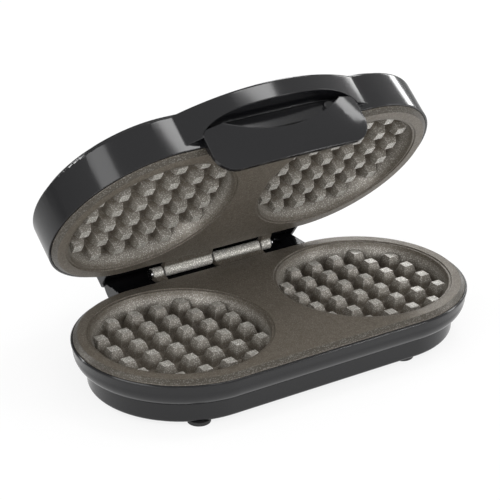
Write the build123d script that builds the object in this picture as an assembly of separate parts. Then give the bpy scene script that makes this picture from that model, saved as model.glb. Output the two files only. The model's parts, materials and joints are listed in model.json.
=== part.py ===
from build123d import *
import math
import os

# Double waffle maker, modelled with its lid standing open.
# Lengths are in millimetres and angles in degrees. +X runs along the body, +Y goes back to the
# hinge and +Z is up. The origin is on the table under the middle of the two cooking plates.
# Both halves are drawn around the face of a plate: z = 0 there, and the back of the plate is at -z.

# Plates
closed_gap = 2.2           # between the two plate faces when shut
ring_radius = 63.5         # a 127 mm waffle
ring_step = 0.7
cavity_web = 12.1          # half the bridge between the two cavities
rim_width = 7.8            # flat plate face outside a ring
end_pull = 1.4             # the round ends are centred this far inside the cavity centres
bevel_out = 3.0
bevel_drop = 2.8
flange_depth = 3.6
land_width = 1.8
cavity_depth = 15.0
cavity_slope = 5.2         # how far the wall of a cavity leans in
pan_wall = 2.5
pan_floor = 2.5
stud_pitch = 18.7
stud_base = 13.2
stud_tip = 7.2
stud_recess = 5.5          # stud tips lie this far below the plate face
studs_across = 6

# Hinge
hinge_behind = 7.7         # behind the lip of the base
knuckle_radius = 4.3
long_knuckle = 39.5
short_knuckle = 8.0
middle_gap = 2.0           # between the two long knuckles
knuckle_gap = 1.5          # between a long and a short knuckle
pin_radius = 2.0
running_clearance = 0.05
pin_head_radius = 3.6
pin_head_height = 1.6
pin_end = 3.0              # bare pin past the last knuckle, under its clip
clip_thickness = 1.2
clip_radius = 3.4
lid_open_angle = 53.2      # pose of the model, from shut

# Fits and fasteners
seat_gap = 0.1             # faces that rest on each other
past = 1.0                 # how far a cut or a joined bar runs past a face
slip_fit = 0.05            # screw shanks, pegs and stems, on the radius
screw_radius = 1.9
screw_head_radius = 3.5
screw_head_height = 2.2
small_screw_radius = 1.2
small_head_radius = 2.2
small_head_height = 1.4
small_screw_length = 2.4
head_round = 0.5           # share of a head's height
recess_width = 0.22        # share of a head's radius
screw_bite = 7.0           # blind hole up into a boss
screw_tip_gap = 1.0
post_hole_gap = 0.3        # around a screw in its post

# Bosses on the back of a plate
boss_radius = 4.0
plate_boss_x = 32.0
plate_boss_inset = 15.3    # from the edge of the plate face
plate_boss_length = 9.0
middle_boss_inset = 14.0   # from the element's centre line towards the middle
clip_boss_length = 4.4
clip_boss_inset = 11.5     # from the element's centre line towards the middle

# Heating element and its clips
element_radius = 3.25
element_inset = 20.5       # its centre line, from the edge of a cavity floor
element_gap = 24.0         # between its two cold ends
cold_pin_radius = 1.5
cold_pin_length = 4.0
clip_width = 12.0
clip_inset = 6.6           # on the straight part of the element, short of the cavity centre
strap_thickness = 1.0

# Reflectors
reflector_margin = 13.5    # outside the element's centre line
reflector_thickness = 0.6
reflector_rim = 2.5
reflector_gap = 0.5        # behind the element clips
notch_half_width = 28.0
notch_margin = 7.0         # inside the element's centre line

# Base housing
lip_gap = 0.3              # around the edge of the plate
lip_width = 1.3
lip_top = -3.2
lip_round = 0.9
lip_foot = -5.2
ledge_width = 2.7          # under the edge of the plate
ledge_depth = 2.2
ledge_slope = 1.5
housing_wall = 2.4
shoulder_inset = 1.0       # this and the next two are from the lip
shoulder_z = -9.0
belly_inset = 2.6
belly_z = -16.0
crease_inset = 8.3
crease_z = -20.9
web_width = 4.2
web_thickness = 2.0
neck_inset = 0.8           # inside of the wall just above the web
belly_inner_z = -15.2
passage_half_width = 24.0  # opening for leads from the base into the shelf
passage_top = -10.0
passage_bottom = -15.0

# Bottom cover
cover_step = 0.8
cover_foot_inset = 2.0     # from the crease
cover_round = 2.5
cover_floor = 2.4
cover_space = 6.9          # for leads, below the reflector
tongue_thickness = 1.6
tongue_root = 1.5
band_root = 4.0
post_radius = 5.0
head_well_radius = 3.9
head_well_depth = 5.6

# Rear shelf of the base, which the hump of the lid swings round
shelf_half_width = 80.0
shelf_top = -4.2
shelf_radius = 18.3        # about the hinge axis
shelf_wall = 2.2
shelf_arc_end = -75.0
shelf_foot = -19.9
lead_hole_x = 64.0
lead_hole_behind = 8.4     # behind the hinge axis
lead_hole_radius = 4.0

# Feet
foot_height = 2.9
foot_radius = 8.0
foot_stem_radius = 2.6
foot_stem_length = 3.6
foot_edge_round = 0.8
foot_inset = 10.6          # from the foot of the bottom cover
outer_foot_past = 19.9     # outside the cavity centre
inner_foot_short = 4.6     # inside the cavity centre

# Lid housing
lid_lip = 1.6              # around the plate and its gap
lid_rim = 5.4
lid_wall = 2.4
lid_rim_recess = 1.2
lid_space = 3.3            # between the reflector and the deck
deck_thickness = 2.2
deck_round = 2.4
deck_opening_radius = 48.0
bulge_out = 17.4           # in front of the lid wall
bulge_half_width = 61.0
bulge_corner_out = 5.0
bulge_blend = 9.0
bulge_foot = 9.5
arch_top = 20.4
arch_round_x = 31.0
bulge_root = 4.0
ceiling_thickness = 2.0

# Hump at the back of the lid
hump_side_gap = 2.8        # outside the shelf
hump_back_gap = 1.5        # behind the shelf
hump_wall = 2.0
hump_foot = 9.6
hump_corner = 6.0
hump_inner_corner = 3.0
hump_root = 12.0
notch_gap = 1.0            # past the end of the hinge pin
hinge_notch_top = 7.4

# Top cover of the lid
dome_inset = 4.0
dome_lean = 1.9
dome_side_height = 3.8
dome_crown = 3.0
dome_shoulder_round = 3.5
dome_wall = 2.2
dome_inner_round = 2.0
dome_peg_radius = 2.5
dome_peg_x = 58.0
dome_peg_inset = 12.2      # from the side of the top cover
dome_peg_length = 5.0      # from the top of the deck

# Handle
handle_top = 14.0
handle_gap = 0.3           # around the flap inside the arch
handle_bottom = -18.3
handle_corner = 15.0
handle_thickness = 2.8
handle_front_inset = 0.2   # behind the front of the bulge
handle_side_inset = 0.1
handle_front_bottom_out = 4.7    # this and the next are in front of the lid wall
handle_side_bottom_out = 3.4
scoop_side_inset = 15.0    # this and the two below are from the side of the bulge
scoop_bottom = 0.5
handle_back_thickness = 2.4
handle_back_top = 17.4
handle_back_inset = 11.0
handle_screw_inset = 21.0
handle_block_width = 4.5
handle_block_foot = -1.8
handle_block_out = 3.8
handle_back_foot = 6.4
handle_boss = 2.0          # behind the back plate
handle_screw_z = 12.4
handle_screw_hole = 3.6

# Lights
lens_x = 8.5
lens_y = -42.0
lens_radius = 3.0
lens_height = 1.2
lens_rim = 0.8
lens_stem = 1.5            # below the inside of the cover
lamp_radius = 2.2
lamp_board_width = 32.0
lamp_board_front_margin = 14.0
lamp_board_back_margin = 6.0
lamp_board_thickness = 1.6

# Electrical parts of the base
thermostat_gap = 6.0       # in front of the element's centre line
thermostat_radius = 8.0
thermostat_height = 9.0
thermostat_ear = 13.5
ear_hole_inset = 2.5
thermostat_ear_width = 7.0
thermostat_ear_thickness = 1.0
thermostat_tab_x = 4.0
thermostat_round = 1.0
tab_width = 4.0
tab_thickness = 0.8
tab_length = 6.0
fuse_gap = 9.0             # in front of the thermostat
fuse_radius = 2.1
fuse_length = 15.0
fuse_wire_radius = 0.7
fuse_wire_end = 14.0
fuse_clip_width = 6.0
fuse_ear_depth = 5.2
block_length = 30.0
block_depth = 14.0
block_height = 13.0
block_gap = 14.0           # behind the element's centre line
block_ways = 3
block_hole_radius = 2.4
block_round = 1.5
block_well_depth = 6.5
block_wire_z = 4.3         # wire holes above the foot of the block
wire_hole_radius = 1.6
block_screw_height = 4.2
block_screw_slot = 0.8
block_screw_slot_depth = 0.8
lead_radius = 1.2
lead_bend = 1.8
lead_lift = 0.4            # below the deck
lead_run_height = 2.7      # long leads above the floor
lead_run_x = 10.0
lead_return_x = 18.0
lead_turn = 4.0            # in front of the thermostat
lead_tab_drop = 2.7
lead_notch_drop = 1.1      # below the reflector
lead_drop_x = 4.0
lead_back_gap = 6.0        # behind the element's centre line
near_lead_inset = 11.1     # this and the next two are from the lid wall
far_lead_inset = 7.9
lamp_lead_inset = 11.9
lead_spread = 1.6
lead_hole_lift = 1.75      # above the ends of the element
lamp_lead_lift = 2.6
lamp_lead_x = 10.0
grommet_x = -52.0
grommet_height = 7.2       # above the outside of the bottom
grommet_hole_radius = 3.3
grommet_radius = 5.6
grommet_flange_radius = 6.4
grommet_flange = 1.6
grommet_flange_inset = 0.7       # from the crease to the back of its flange
grommet_length = 8.5
lug_x = 18.0
lug_inset = 12.1           # from the edge of the plate face
lug_radius = 4.2
lug_thickness = 1.0
lug_tail = 9.0
lug_barrel = 4.5
lug_barrel_radius = 1.6

# Plan sizes worked out from the ring
cavity_offset = ring_radius + cavity_web
end_offset = cavity_offset - end_pull
floor_radius = ring_radius - land_width - cavity_slope
rim_radius = ring_radius + rim_width
plate_edge = rim_radius + bevel_out
lip_radius = plate_edge + lip_gap + lip_width
ledge_radius = plate_edge - ledge_width
shoulder_radius = lip_radius - shoulder_inset
belly_radius = lip_radius - belly_inset
belly_inner_radius = belly_radius - housing_wall
crease_radius = lip_radius - crease_inset
web_inner_radius = crease_radius - web_width
neck_radius = crease_radius - neck_inset
cover_foot_radius = crease_radius - cover_foot_inset
hinge_y = lip_radius + hinge_behind
lead_hole_y = hinge_y + lead_hole_behind
lid_radius = plate_edge + lip_gap + lid_lip
bulge_front = lid_radius + bulge_out
bulge_corner_y = lid_radius + bulge_corner_out
hump_half_width = shelf_half_width + hump_side_gap
hump_back = hinge_y + shelf_radius + hump_back_gap
dome_radius = lid_radius - dome_inset
dome_shoulder_radius = dome_radius - dome_lean
dome_peg_y = dome_radius - dome_peg_inset
handle_front_top = bulge_front - handle_front_inset
handle_side_top = bulge_corner_y - handle_side_inset
handle_front_bottom = lid_radius + handle_front_bottom_out
handle_side_bottom = lid_radius + handle_side_bottom_out
handle_block_front = lid_radius + handle_block_out
handle_back_half_width = bulge_half_width - handle_back_inset
handle_screw_x = bulge_half_width - handle_screw_inset
scoop_half_width = bulge_half_width - scoop_side_inset
plate_boss_y = rim_radius - plate_boss_inset
foot_y = cover_foot_radius - foot_inset
outer_foot_x = cavity_offset + outer_foot_past
inner_foot_x = cavity_offset - inner_foot_short
lug_y = rim_radius - lug_inset
grommet_out = crease_radius - grommet_flange_inset
grommet_in = grommet_out + grommet_flange - grommet_length
near_lead_y = lid_radius - near_lead_inset
far_lead_y = lid_radius - far_lead_inset
lamp_lead_y = lid_radius - lamp_lead_inset
lamp_board_front = lamp_board_front_margin - lens_y
lamp_board_back = -lens_y - lamp_board_back_margin

# Plan sizes worked out from the element
element_loop_radius = floor_radius - element_inset
clip_x = cavity_offset - clip_inset
clip_boss_y = element_loop_radius - clip_boss_inset
middle_boss_y = element_loop_radius - middle_boss_inset
reflector_radius = element_loop_radius + reflector_margin
notch_front = element_loop_radius - notch_margin
block_y = element_loop_radius + block_gap
lead_back_y = element_loop_radius + lead_back_gap
thermostat_y = -element_loop_radius - thermostat_gap
fuse_y = thermostat_y - thermostat_radius - fuse_gap
lead_front_y = thermostat_y - thermostat_radius - lead_turn

# Hinge places
hinge_z = closed_gap / 2
knuckle_start = middle_gap / 2
knuckle_far = knuckle_start + long_knuckle + knuckle_gap
knuckle_end = knuckle_far + short_knuckle
hinge_notch_half_width = knuckle_end + pin_end + notch_gap

# Heights worked out from the face of the plate
pan_bottom = cavity_depth + pan_floor
element_z = -(pan_bottom + seat_gap + element_radius)
reflector_z = element_z - element_radius - seat_gap - strap_thickness - reflector_gap
middle_boss_length = -reflector_z - flange_depth - seat_gap
floor_z = reflector_z - reflector_thickness - cover_space
cover_bottom = floor_z - cover_floor
plate_height = foot_height - cover_bottom
post_top = -(flange_depth + plate_boss_length + seat_gap)
deck_under = closed_gap - reflector_z + reflector_thickness + lid_space
deck_top = deck_under + deck_thickness
dome_shoulder_z = deck_top + dome_side_height
dome_top = dome_shoulder_z + dome_crown
dome_peg_end = deck_top - dome_peg_length
lead_run_z = floor_z + lead_run_height
lead_tab_z = -flange_depth - seat_gap - thermostat_height - tab_length - lead_tab_drop
lead_notch_z = reflector_z - lead_notch_drop
lid_lead_hole_z = closed_gap - element_z + lead_hole_lift
lamp_lead_hole_z = lid_lead_hole_z + lamp_lead_lift
grommet_z = cover_bottom + grommet_height


def place(item):
    """Lift a piece from the plate frame to its height above the table."""
    return Pos(0, 0, plate_height) * item


def flip(item):
    """Turn a piece of the lower half over into the upper half, still shut."""
    return Pos(0, 0, closed_gap) * Rot(0, 180, 0) * item


def open_lid(item):
    """Swing a piece of the shut lid up to the open pose, and lift it to its height."""
    swing = Pos(0, hinge_y, hinge_z) * Rot(-lid_open_angle, 0, 0) * Pos(0, -hinge_y, -hinge_z)
    return place(swing * item)


def rounded_face(*corners):
    """Face in the Y-Z plane from (y, z) corners; a third number rounds that corner."""
    face = make_face(Plane.YZ * Polyline(*[corner[:2] for corner in corners], close=True))
    for corner in corners:
        if len(corner) == 3:
            spot = Vector(0, corner[0], corner[1])
            vertex = min(face.vertices(), key=lambda v: (Vector(*v) - spot).length)
            face = fillet(vertex, corner[2])
    return face


def stadium_ring(face):
    """Carry a half profile, drawn on the +Y side, all the way round both ends."""
    straight = extrude(face, end_offset, both=True)
    end = Pos(-end_offset, 0, 0) * revolve(face, Axis.Z, 180)
    other = mirror(straight, Plane.XZ)
    return straight + other + end + mirror(end, Plane.YZ)


def stadium(radius, bottom, top):
    """Upright stadium block between two heights."""
    slot = SlotCenterToCenter(2 * end_offset, 2 * radius)
    return Pos(0, 0, bottom) * extrude(slot, top - bottom)


def rod(radius, start, end):
    """Round bar between two points."""
    line = Line(start, end)
    return extrude(Plane(origin=start, z_dir=line % 0) * Circle(radius), line.length)


def block(x0, x1, y0, y1, z0, z1):
    """Box from its limits."""
    return Pos((x0 + x1) / 2, (y0 + y1) / 2, (z0 + z1) / 2) * Box(x1 - x0, y1 - y0, z1 - z0)


def screw(shank, head, head_height, length):
    """Pan-head cross-recess screw: the seat is at z = 0, the head above it."""
    cap = Pos(0, 0, head_height / 2) * Cylinder(head, head_height)
    cap = fillet(cap.edges().group_by(Axis.Z)[-1], head_height * head_round)
    width = head * recess_width
    slot = Box(head, width, head_height) + Box(width, head, head_height)
    cap -= Pos(0, 0, head_height) * slot
    return cap + Pos(0, 0, -length / 2) * Cylinder(shank, length)


def corners(x, y):
    """The four places at plus and minus x and y."""
    return [(sx * x, sy * y) for sx in (-1, 1) for sy in (-1, 1)]


def cooking_plate():
    """Cast plate: flange, two round pans with pyramid studs, bosses and hinge knuckles."""
    plate = stadium_ring(rounded_face(
        (0, 0), (rim_radius, 0), (plate_edge, -bevel_drop), (plate_edge, -flange_depth), (0, -flange_depth)))
    pan_top = -flange_depth / 2
    pan = Pos(0, 0, (pan_top - pan_bottom) / 2) * Cone(
        floor_radius + pan_wall, ring_radius + pan_wall, pan_top + pan_bottom)
    cavity_face = make_face(Plane.XZ * Polyline(
        (0, past), (ring_radius, past), (ring_radius, -ring_step), (ring_radius - land_width, -ring_step),
        (floor_radius, -cavity_depth), (0, -cavity_depth), close=True))
    cavity = revolve(cavity_face, Axis.Z, 360)
    foot = Rectangle(stud_base, stud_base)
    tip = Rectangle(stud_tip, stud_tip)
    stud = Pos(0, 0, -cavity_depth - past) * extrude(foot, past)
    stud += loft([Pos(0, 0, -cavity_depth) * foot, Pos(0, 0, -stud_recess) * tip])
    steps = [(i - (studs_across - 1) / 2) * stud_pitch for i in range(studs_across)]
    spots = [(x, y) for x in steps for y in steps if math.hypot(x, y) < floor_radius]
    cavity -= [Pos(x, y, 0) * stud for x, y in spots]
    for side in (-1, 1):
        plate += Pos(side * cavity_offset, 0, 0) * pan
    for side in (-1, 1):
        plate -= Pos(side * cavity_offset, 0, 0) * cavity

    bosses = [(x, y, flange_depth, plate_boss_length) for x, y in corners(plate_boss_x, plate_boss_y)]
    bosses += [(0, side * middle_boss_y, flange_depth, middle_boss_length) for side in (-1, 1)]
    for x, y, root, length in bosses:
        plate += rod(boss_radius, (x, y, pan_top), (x, y, -root - length))
    for x, y in corners(clip_x, clip_boss_y):
        plate += rod(boss_radius, (x, y, -cavity_depth - past), (x, y, -pan_bottom - clip_boss_length))
    for x, y, root, length in bosses:
        plate -= screw_hole(x, y, -root - length, screw_bite)
    for x, y in corners(clip_x, clip_boss_y):
        plate -= screw_hole(x, y, -pan_bottom - clip_boss_length, clip_boss_length + past)

    arm = make_face(Plane.YZ * Polyline(
        (rim_radius, -flange_depth), (hinge_y, hinge_z - knuckle_radius),
        (hinge_y, hinge_z + knuckle_radius / 3), (rim_radius + past, -past), close=True))
    bore = pin_radius + running_clearance
    for x0, x1 in ((knuckle_start, knuckle_start + long_knuckle), (-knuckle_end, -knuckle_far)):
        knuckle = rod(knuckle_radius, (x0, hinge_y, hinge_z), (x1, hinge_y, hinge_z))
        plate += knuckle + Pos(x0, 0, 0) * extrude(arm, x1 - x0)
        plate -= rod(bore, (x0 - past, hinge_y, hinge_z), (x1 + past, hinge_y, hinge_z))
    return plate


def screw_hole(x, y, foot, depth):
    """Blind hole up into a boss that ends at the given foot."""
    return rod(screw_radius + slip_fit, (x, y, foot - past), (x, y, foot + depth))


def fuse_screw_y():
    """Middle of the ear of the fuse clip, behind the fuse."""
    return fuse_y + fuse_radius + seat_gap + strap_thickness + fuse_ear_depth / 2


def small_screw_places():
    """Where the thermostat, the fuse clip and the ground lug are screwed on, and how thick each is."""
    ear_x = thermostat_ear - ear_hole_inset
    return [(-ear_x, thermostat_y, thermostat_ear_thickness), (ear_x, thermostat_y, thermostat_ear_thickness),
            (0, fuse_screw_y(), strap_thickness), (lug_x, lug_y, lug_thickness)]


def small_screw_holes():
    """Blind holes under the flange of the lower plate."""
    radius = small_screw_radius + slip_fit
    foot = -flange_depth
    return [rod(radius, (x, y, foot - past), (x, y, foot + small_screw_length))
            for x, y, thickness in small_screw_places()]


def small_screws():
    """Screws of the thermostat, the fuse clip and the ground lug."""
    pieces = []
    for x, y, thickness in small_screw_places():
        seat = -flange_depth - 2 * seat_gap - thickness
        one = screw(small_screw_radius, small_head_radius, small_head_height, small_screw_length + thickness)
        pieces.append(Pos(x, y, seat) * Rot(180, 0, 0) * one)
    return pieces


def heating_element():
    """Tubular loop under both pans, with a cold pin at each end."""
    x0 = element_gap / 2
    r = element_loop_radius
    z = element_z
    far = cavity_offset
    path = Wire([
        Line((-x0, r, z), (-far, r, z)),
        ThreePointArc((-far, r, z), (-far - r, 0, z), (-far, -r, z)),
        Line((-far, -r, z), (far, -r, z)),
        ThreePointArc((far, -r, z), (far + r, 0, z), (far, r, z)),
        Line((far, r, z), (x0, r, z))])
    start = Plane(origin=(-x0, r, z), z_dir=(-1, 0, 0))
    tube = sweep(start * Circle(element_radius), path=path)
    for side in (-1, 1):
        tube += rod(cold_pin_radius, (side * (x0 + past), r, z), (side * (x0 - cold_pin_length), r, z))
    return tube


def element_clip():
    """Hooked strap that is screwed to its boss and holds the element against the pan."""
    t = strap_thickness
    seat = -pan_bottom - clip_boss_length - seat_gap
    inside = clip_boss_y - boss_radius
    low = element_z - element_radius - seat_gap
    near = element_loop_radius - element_radius - seat_gap - t
    far = element_loop_radius + element_radius + seat_gap
    shape = Polyline(
        (inside, seat), (near + t, seat), (near + t, low), (far, low), (far, element_z), (far + t, element_z),
        (far + t, low - t), (near, low - t), (near, seat - t), (inside, seat - t), close=True)
    strap = extrude(make_face(Plane.YZ * shape), clip_width / 2, both=True)
    hole = rod(screw_radius + slip_fit, (0, clip_boss_y, seat + past), (0, clip_boss_y, seat - t - past))
    return strap - hole


def element_clips():
    """The four straps of one half."""
    front = mirror(element_clip(), Plane.XZ)
    back = element_clip()
    return [Pos(side * clip_x, 0, 0) * strap for side in (-1, 1) for strap in (front, back)]


def element_clip_screws():
    """Screws of the element clips, driven from the back of the plate."""
    seat = -pan_bottom - clip_boss_length - 2 * seat_gap - strap_thickness
    length = clip_boss_length + strap_thickness + seat_gap
    one = Rot(180, 0, 0) * screw(screw_radius, screw_head_radius, screw_head_height, length)
    return [Pos(x, y, seat) * one for x, y in corners(clip_x, clip_boss_y)]


def reflector():
    """Shallow sheet tray behind the element, notched at the back for the element's ends."""
    t = reflector_thickness
    z = reflector_z
    rim = z + reflector_rim
    tray = stadium_ring(rounded_face(
        (0, z), (reflector_radius - t, z), (reflector_radius - t, rim), (reflector_radius, rim),
        (reflector_radius, z - t), (0, z - t)))
    tray -= block(-notch_half_width, notch_half_width, notch_front, reflector_radius + past,
                  z - t - past, rim + past)
    for side in (-1, 1):
        y = side * middle_boss_y
        tray -= rod(screw_radius + slip_fit, (0, y, z - t - past), (0, y, z + past))
    return tray


def reflector_screws():
    """Two screws up into the long middle bosses."""
    seat = reflector_z - reflector_thickness - seat_gap
    one = Rot(180, 0, 0) * screw(screw_radius, screw_head_radius, screw_head_height, screw_bite - screw_tip_gap)
    return [Pos(0, side * middle_boss_y, seat) * one for side in (-1, 1)]


def shelf_face(inset):
    """Section of the rear shelf: flat top, round back about the hinge axis, sloping underside."""
    radius = shelf_radius - inset
    top = shelf_top - inset
    first = math.degrees(math.asin((top - hinge_z) / radius))

    def spot(angle):
        turn = math.radians(angle)
        return (hinge_y + radius * math.cos(turn), hinge_z + radius * math.sin(turn))

    front = shoulder_radius - housing_wall - past
    arc = ThreePointArc(spot(first), spot((first + shelf_arc_end) / 2), spot(shelf_arc_end))
    rest = Polyline(spot(shelf_arc_end), (front, shelf_foot + inset), (front, top), spot(first))
    return make_face(Curve() + [Plane.YZ * arc, Plane.YZ * rest])


def base_housing():
    """Upper band of the base, with the seat of the plate and the shelf below the hinge."""
    inner_radius = shoulder_radius - housing_wall
    outer = ThreePointArc((shoulder_radius, shoulder_z), (belly_radius, belly_z), (crease_radius, crease_z))
    inner = ThreePointArc(
        (neck_radius, crease_z + web_thickness), (belly_inner_radius, belly_inner_z),
        (inner_radius, shoulder_z))
    bottom = Polyline(
        (crease_radius, crease_z), (web_inner_radius, crease_z), (web_inner_radius, crease_z + web_thickness),
        (neck_radius, crease_z + web_thickness))
    seat = -flange_depth - seat_gap
    edge = plate_edge + lip_gap
    top = Polyline(
        (inner_radius, shoulder_z), (inner_radius, seat - ledge_depth - ledge_slope),
        (ledge_radius, seat - ledge_depth), (ledge_radius, seat), (edge, seat), (edge, lip_top),
        (lip_radius - lip_round, lip_top), (lip_radius, lip_top - lip_round), (lip_radius, lip_foot),
        (shoulder_radius, shoulder_z))
    edges = [Plane.YZ * piece for piece in (outer, bottom, inner, top)]
    housing = stadium_ring(make_face(Curve() + edges))

    shelf = extrude(shelf_face(0), shelf_half_width, both=True)
    shelf -= extrude(shelf_face(shelf_wall), shelf_half_width - shelf_wall, both=True)
    shelf -= stadium(inner_radius, crease_z, lip_top)
    lip_cut = block(-shelf_half_width, shelf_half_width, 0, lip_radius + past, shelf_top, 0)
    housing -= lip_cut - stadium(ledge_radius - past, shelf_top - past, past)
    housing += shelf
    housing -= block(-passage_half_width, passage_half_width, ledge_radius - past, shoulder_radius + past,
                     passage_bottom, passage_top)
    return housing - rod(lead_hole_radius, (lead_hole_x, lead_hole_y, shelf_top - shelf_wall - past),
                         (lead_hole_x, lead_hole_y, shelf_top + past))


def bottom_cover():
    """Lower band and floor of the base, with four screw posts and the sockets of the feet."""
    top = crease_z - seat_gap
    tongue = web_inner_radius - seat_gap
    tongue_top = crease_z + web_thickness
    wall_top = crease_radius - cover_step
    cover = stadium_ring(rounded_face(
        (0, cover_bottom), (cover_foot_radius, cover_bottom, cover_round), (wall_top, top), (tongue, top),
        (tongue, tongue_top), (tongue - tongue_thickness, tongue_top),
        (tongue - tongue_thickness, top - tongue_root), (wall_top - cover_floor, top - band_root),
        (cover_foot_radius - cover_floor, floor_z), (0, floor_z)))
    for x, y in corners(plate_boss_x, plate_boss_y):
        cover += rod(post_radius, (x, y, floor_z - past), (x, y, post_top))
    for x, y in corners(plate_boss_x, plate_boss_y):
        cover -= rod(screw_radius + post_hole_gap, (x, y, cover_bottom - past), (x, y, post_top + past))
        cover -= rod(head_well_radius, (x, y, cover_bottom - past), (x, y, cover_bottom + head_well_depth))
    for x, y in foot_places():
        cover -= rod(foot_stem_radius + slip_fit, (x, y, cover_bottom - past), (x, y, floor_z + past))
    return cover - rod(grommet_radius + slip_fit, (grommet_x, grommet_in, grommet_z),
                       (grommet_x, crease_radius + past, grommet_z))


def foot_places():
    """Front feet where they show, and the back pair turned half way round from them."""
    return [(-outer_foot_x, -foot_y), (inner_foot_x, -foot_y), (-inner_foot_x, foot_y), (outer_foot_x, foot_y)]


def foot():
    """Rubber foot with a stem that is pressed up through the floor."""
    top = cover_bottom - seat_gap
    pad = rod(foot_radius, (0, 0, -plate_height), (0, 0, top))
    pad = fillet(pad.edges().group_by(Axis.Z)[0], foot_edge_round)
    return pad + rod(foot_stem_radius, (0, 0, top - past), (0, 0, top + foot_stem_length))


def cover_screws():
    """Long screws from below, through the posts and into the plate."""
    seat = cover_bottom + head_well_depth - seat_gap
    length = post_top - seat + screw_bite - screw_tip_gap
    one = Rot(180, 0, 0) * screw(screw_radius, screw_head_radius, screw_head_height, length)
    return [Pos(x, y, seat) * one for x, y in corners(plate_boss_x, plate_boss_y)]


def hinge_pin():
    """Headed steel pin through all four knuckles."""
    end = knuckle_end + pin_end
    face = -knuckle_end - seat_gap
    pin = rod(pin_radius, (face, hinge_y, hinge_z), (end, hinge_y, hinge_z))
    return pin + rod(pin_head_radius, (face - pin_head_height, hinge_y, hinge_z), (face, hinge_y, hinge_z))


def hinge_pin_clip():
    """Push-on steel ring at the far end of the pin."""
    start = knuckle_end + seat_gap
    end = start + clip_thickness
    ring = rod(clip_radius, (start, hinge_y, hinge_z), (end, hinge_y, hinge_z))
    return ring - rod(pin_radius + slip_fit, (start - past, hinge_y, hinge_z), (end + past, hinge_y, hinge_z))


def bulge_outline(inset):
    """Plan of the lid with its front bulge, drawn the given distance inside the outer wall."""
    radius = lid_radius - inset
    front = bulge_front - inset
    sagitta = bulge_front - bulge_corner_y
    arc_radius = (bulge_half_width ** 2 + sagitta ** 2) / (2 * sagitta)
    disc = Pos(0, -front + arc_radius, 0) * Circle(arc_radius)
    band = Pos(0, -front, 0) * Rectangle(3 * bulge_half_width, 2 * (front - radius + bulge_root))
    plan = SlotCenterToCenter(2 * end_offset, 2 * radius) + (disc & band)
    reach = math.sqrt(arc_radius ** 2 - (arc_radius - (front - radius)) ** 2)
    meets = [v for v in plan.vertices() if abs(v.Y + radius) < seat_gap and abs(abs(v.X) - reach) < seat_gap]
    return fillet(meets, bulge_blend)


def arch_face(inset):
    """Front view of the arch under the bulge: flat top, elliptical haunches, open below."""
    half = bulge_half_width - inset
    straight = bulge_half_width - arch_round_x
    rise = arch_top - inset - bulge_foot
    right = EllipticalCenterArc((straight, bulge_foot), half - straight, rise, 0, arc_size=90)
    left = EllipticalCenterArc((-straight, bulge_foot), half - straight, rise, 90, arc_size=90)
    low = -plate_height
    rest = Polyline((-half, bulge_foot), (-half, low), (half, low), (half, bulge_foot))
    return make_face(Curve() + [Plane.XZ * right, Plane.XZ * Line(right @ 1, left @ 0), Plane.XZ * left,
                                Plane.XZ * rest])


def hump_block(inset, corner, bottom, top):
    """Rear hump with rounded upright corners, drawn the given distance inside its wall."""
    half = hump_half_width - inset
    body = block(-half, half, lid_radius - hump_root, hump_back - inset, bottom, top)
    back_edges = body.edges().filter_by(Axis.Z).group_by(Axis.Y)[-1]
    return fillet(back_edges, corner)


def lid_housing():
    """Lid wall and deck in one moulding, with the front bulge and the rear hump."""
    wall = Pos(0, 0, lid_rim) * extrude(bulge_outline(0), deck_top - lid_rim)
    core = stadium(lid_radius, 0, deck_top)
    width = 2 * bulge_half_width
    front_zone = block(-width, width, -2 * bulge_front, -rim_radius, 0, bulge_foot)
    wall -= front_zone - core
    wall += hump_block(0, hump_corner, hump_foot, deck_top)
    wall = fillet(wall.faces().sort_by(Axis.Z)[-1].outer_wire().edges(), deck_round)
    arch = extrude(arch_face(0), 2 * bulge_front)
    wall -= arch - core
    wall -= hump_block(hump_wall, hump_inner_corner, 0, deck_under) - core

    foot = bulge_foot + ceiling_thickness
    bulge_core = Pos(0, 0, foot) * extrude(bulge_outline(lid_wall), deck_under - foot)
    wall -= bulge_core - core - Pos(0, 0, ceiling_thickness) * arch

    wall -= stadium(lid_radius - lid_wall, 0, deck_under)
    wall -= stadium(plate_edge + lip_gap, 0, lid_rim + lid_rim_recess)
    wall -= stadium(deck_opening_radius, 0, deck_top + past)
    notch = hinge_notch_half_width
    wall -= block(-notch, notch, rim_radius, lid_radius + past, 0, hinge_notch_top)

    post_foot = closed_gap - post_top
    for x, y in corners(plate_boss_x, plate_boss_y):
        wall += rod(post_radius, (x, y, post_foot), (x, y, deck_under + past))
    for x, y in corners(plate_boss_x, plate_boss_y):
        wall -= rod(screw_radius + post_hole_gap, (x, y, post_foot - past), (x, y, deck_top + past))
        wall -= rod(head_well_radius, (x, y, deck_top - head_well_depth), (x, y, deck_top + past))
    for x, y in corners(dome_peg_x, dome_peg_y):
        wall -= rod(dome_peg_radius + slip_fit, (x, y, deck_under - past), (x, y, deck_top + past))
    inner = lid_radius - lid_wall - past
    for side in (-1, 1):
        x = side * handle_screw_x
        z = handle_screw_z
        wall -= rod(screw_radius + slip_fit, (x, -lid_radius - past, z), (x, -inner, z))
    return wall - rod(lead_hole_radius, (lead_hole_x, inner, lid_lead_hole_z),
                      (lead_hole_x, lid_radius + past, lid_lead_hole_z))


def lid_screws():
    """Screws under the top cover that hold the lid housing to the upper plate."""
    seat = deck_top - head_well_depth + seat_gap
    length = seat - closed_gap + post_top + screw_bite - screw_tip_gap
    one = screw(screw_radius, screw_head_radius, screw_head_height, length)
    return [Pos(x, y, seat) * one for x, y in corners(plate_boss_x, plate_boss_y)]


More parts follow.
